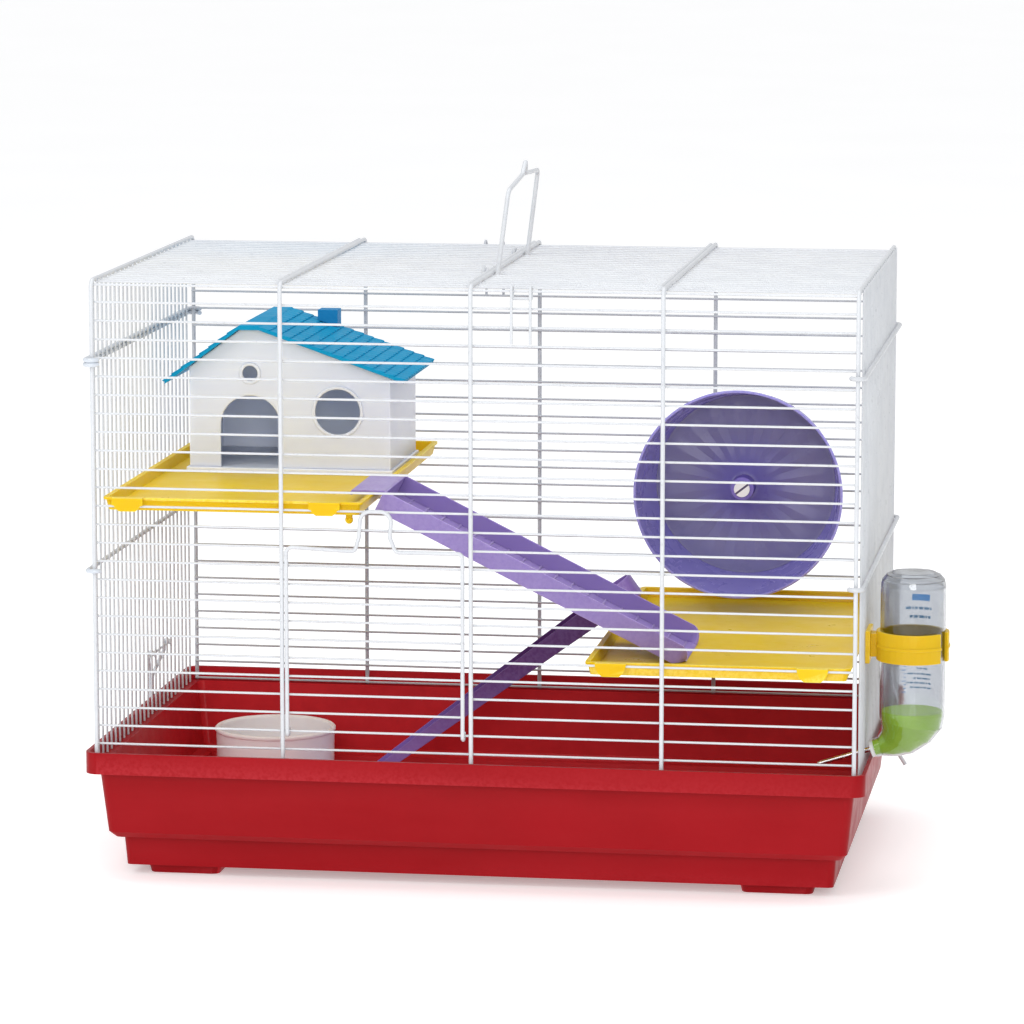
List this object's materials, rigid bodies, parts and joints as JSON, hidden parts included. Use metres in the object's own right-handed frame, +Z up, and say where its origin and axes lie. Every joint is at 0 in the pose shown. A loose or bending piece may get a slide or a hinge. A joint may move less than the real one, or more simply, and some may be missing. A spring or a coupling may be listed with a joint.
{
  "type": "hamster cage",
  "caption": "Wire cage on a deep plastic tray, with front door, carrying handle, shelves, ramps, running wheel, house with lift-off roof, food bowl and drinking bottle",
  "frame": {"origin": "on the ground under the middle of the whole object", "axes": "+X along the long front to the right as seen from the front, +Y from the front to the back, +Z up"},
  "size_m": [0.5685, 0.318, 0.4608],
  "materials": {
    "tray_red": "glossy moulded plastic",
    "cage_wire": "white powder coat on round wire",
    "bright_wire": "bright spring wire",
    "shelf_yellow": "glossy moulded plastic",
    "house_white": "satin moulded plastic",
    "roof_blue": "glossy moulded plastic",
    "chimney_blue": "glossy moulded plastic",
    "ladder_violet": "glossy moulded plastic",
    "ladder_plum": "glossy moulded plastic",
    "wheel_violet": "tinted translucent plastic",
    "bracket_plum": "satin moulded plastic",
    "bare_steel": "plain steel",
    "clear_plastic": "clear blown plastic",
    "green_drink": "clear green water",
    "cap_grey": "satin moulded plastic",
    "bowl_white": "glossy moulded plastic"
  },
  "bodies": {
    "tray": {"tray_shell": "tray_red", "tray_feet": "tray_red"},
    "wire_cage": {"front_rows": "cage_wire", "back_rows": "cage_wire", "roof_rows": "cage_wire", "front_uprights": "cage_wire", "back_uprights": "cage_wire", "hoop_corners": "cage_wire", "roof_bars": "cage_wire", "left_side_wires": "cage_wire", "right_side_wires": "cage_wire", "left_side_rods": "cage_wire", "right_side_rods": "cage_wire", "upper_platform": "shelf_yellow", "upper_platform_peg": "shelf_yellow", "lower_platform": "shelf_yellow", "house_walls": "house_white", "house_base": "house_white", "axle_pin": "bare_steel", "axle_bracket": "bracket_plum", "axle_nut": "bracket_plum"},
    "front_door": {"door_posts": "cage_wire", "door_top": "cage_wire", "door_wires": "cage_wire"},
    "handle": {"carry_handle": "bright_wire"},
    "front_roof_clip": {"front_top_clip": "bright_wire"},
    "back_roof_clip": {"back_top_clip": "bright_wire"},
    "left_clip": {"left_tray_clip": "bright_wire"},
    "right_clip": {"right_tray_clip": "bright_wire"},
    "house_lid": {"house_roof": "roof_blue", "house_chimney": "chimney_blue"},
    "upper_ramp": {"upper_ladder": "ladder_violet"},
    "lower_ramp": {"lower_ladder": "ladder_plum"},
    "running_wheel": {"wheel_rim": "wheel_violet", "wheel_disc": "wheel_violet", "wheel_hub": "wheel_violet"},
    "bottle": {"bottle_shell": "clear_plastic", "bottle_liquid": "green_drink", "bottle_cap": "cap_grey", "spout_tube": "bare_steel", "spout_ball": "bare_steel", "bottle_ring": "shelf_yellow", "ring_bracket": "shelf_yellow"},
    "bowl": {"food_bowl": "bowl_white"}
  },
  "joints": [
    {"name": "cage_lift", "type": "slide", "parent": "tray", "child": "wire_cage", "axis": [0, 0, 1], "range_m": [0, 0.12]},
    {"name": "front_door_hinge", "type": "hinge", "parent": "wire_cage", "child": "front_door", "pos_m": [-0.0815, -0.15, 0.1025], "axis": [1, 0, 0], "range_deg": [0, 125]},
    {"name": "handle_swing", "type": "hinge", "parent": "wire_cage", "child": "handle", "pos_m": [-0.02038, 0.006, 0.3926], "axis": [0, 1, 0], "range_deg": [-75, 60]},
    {"name": "front_roof_clip_turn", "type": "hinge", "parent": "wire_cage", "child": "front_roof_clip", "pos_m": [0.01325, -0.14915, 0.38965], "axis": [-1, 0, 0], "range_deg": [0, 35]},
    {"name": "back_roof_clip_turn", "type": "hinge", "parent": "wire_cage", "child": "back_roof_clip", "pos_m": [-0.0505, 0.14915, 0.38965], "axis": [1, 0, 0], "range_deg": [0, 35]},
    {"name": "left_clip_turn", "type": "hinge", "parent": "wire_cage", "child": "left_clip", "pos_m": [-0.26855, 0.048, 0.117], "axis": [0, 1, 0], "range_deg": [0, 50]},
    {"name": "right_clip_turn", "type": "hinge", "parent": "wire_cage", "child": "right_clip", "pos_m": [0.23055, 0.048, 0.117], "axis": [0, -1, 0], "range_deg": [0, 50]},
    {"name": "house_roof_lift", "type": "slide", "parent": "wire_cage", "child": "house_lid", "axis": [0, 0, 1], "range_m": [0, 0.03]},
    {"name": "upper_ramp_tilt", "type": "hinge", "parent": "wire_cage", "child": "upper_ramp", "pos_m": [-0.0932, -0.073, 0.2525], "axis": [0, -1, 0], "range_deg": [0, 15]},
    {"name": "lower_ramp_lift", "type": "slide", "parent": "wire_cage", "child": "lower_ramp", "axis": [0, 0, 1], "range_m": [0, 0.015]},
    {"name": "wheel_spin", "type": "hinge", "parent": "wire_cage", "child": "running_wheel", "pos_m": [0.128, 0.118, 0.229], "axis": [0, 1, 0], "continuous": true},
    {"name": "bottle_unclip", "type": "slide", "parent": "wire_cage", "child": "bottle", "axis": [0.9527, 0, 0.3038], "range_m": [0, 0.06]},
    {"name": "bowl_lift", "type": "slide", "parent": "tray", "child": "bowl", "axis": [0, 0, 1], "range_m": [0, 0.06]}
  ]
}
